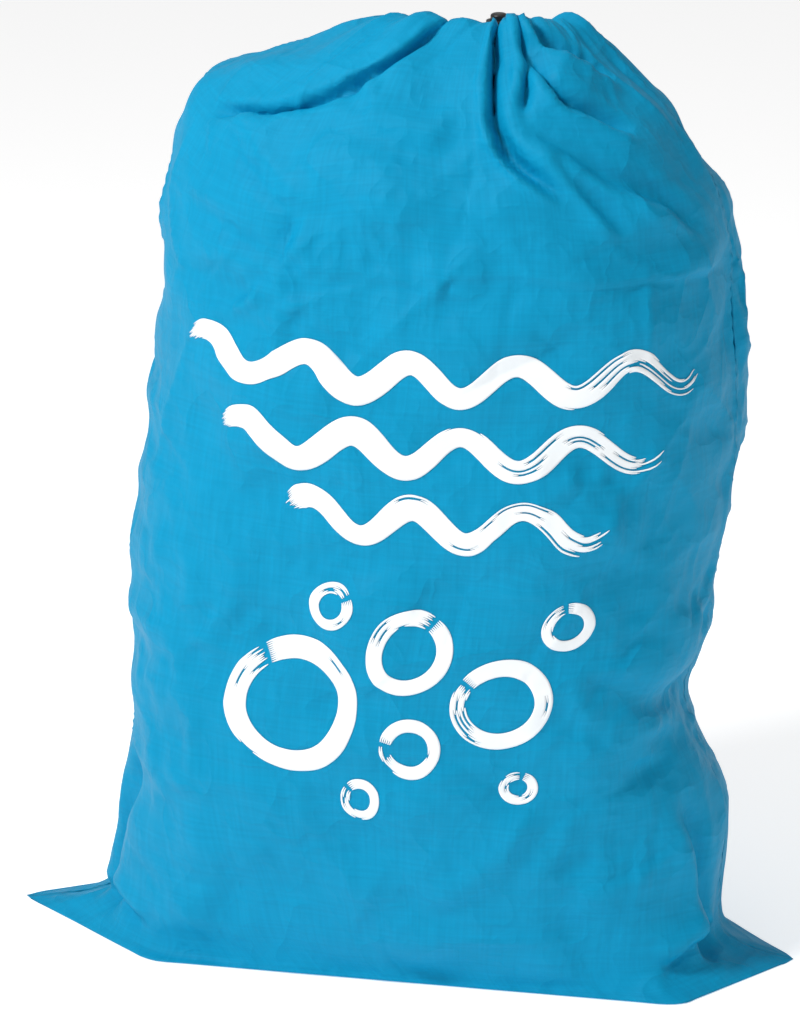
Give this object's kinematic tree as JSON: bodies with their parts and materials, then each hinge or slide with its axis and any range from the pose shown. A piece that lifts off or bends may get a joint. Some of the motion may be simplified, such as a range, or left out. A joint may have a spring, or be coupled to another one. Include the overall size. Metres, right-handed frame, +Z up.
{
  "type": "drawstring laundry bag",
  "caption": "Full drawstring laundry bag standing upright: cloth panels, sewn seams with ears at the base, gathered hem, drawcord with end knots and a sprung cord lock.",
  "frame": {"origin": "on the floor under the bag, in the middle of its box (ear tip to ear tip across, front to back in depth)", "axes": "+Z up, -Y towards the printed front, +X to the right as seen from the front"},
  "size_m": [0.6181, 0.3082, 0.7233],
  "materials": {
    "bag_cloth": "satin",
    "seam_cloth": "matte",
    "print_ink": "matte",
    "cord": "matte",
    "lock_plastic": "satin",
    "button_plastic": "satin",
    "spring_steel": "satin"
  },
  "bodies": {
    "bag": {"front_panel": "bag_cloth", "back_panel": "bag_cloth", "side_seam_left": "seam_cloth", "side_seam_right": "seam_cloth", "bottom_seam": "seam_cloth", "front_hem_casing": "bag_cloth", "back_hem_casing": "bag_cloth", "drawcord_in_hem": "cord", "cord_tail_left": "cord", "cord_tail_right": "cord", "cord_knot_left": "cord", "cord_knot_right": "cord"},
    "cord_lock": {"cord_lock_barrel": "lock_plastic", "cord_lock_spring": "spring_steel"},
    "plunger": {"cord_lock_plunger": "button_plastic"}
  },
  "joints": [
    {"name": "cord_lock_slide", "type": "slide", "parent": "bag", "child": "cord_lock", "axis": [0, 1, 0], "range_m": [0, 0.035]},
    {"name": "plunger_press", "type": "slide", "parent": "cord_lock", "child": "plunger", "axis": [0, 0, -1], "range_m": [0, 0.004], "stiffness_N_per_m": 600, "springref_m": -0.006, "deforming": ["cord_lock_spring"]}
  ]
}
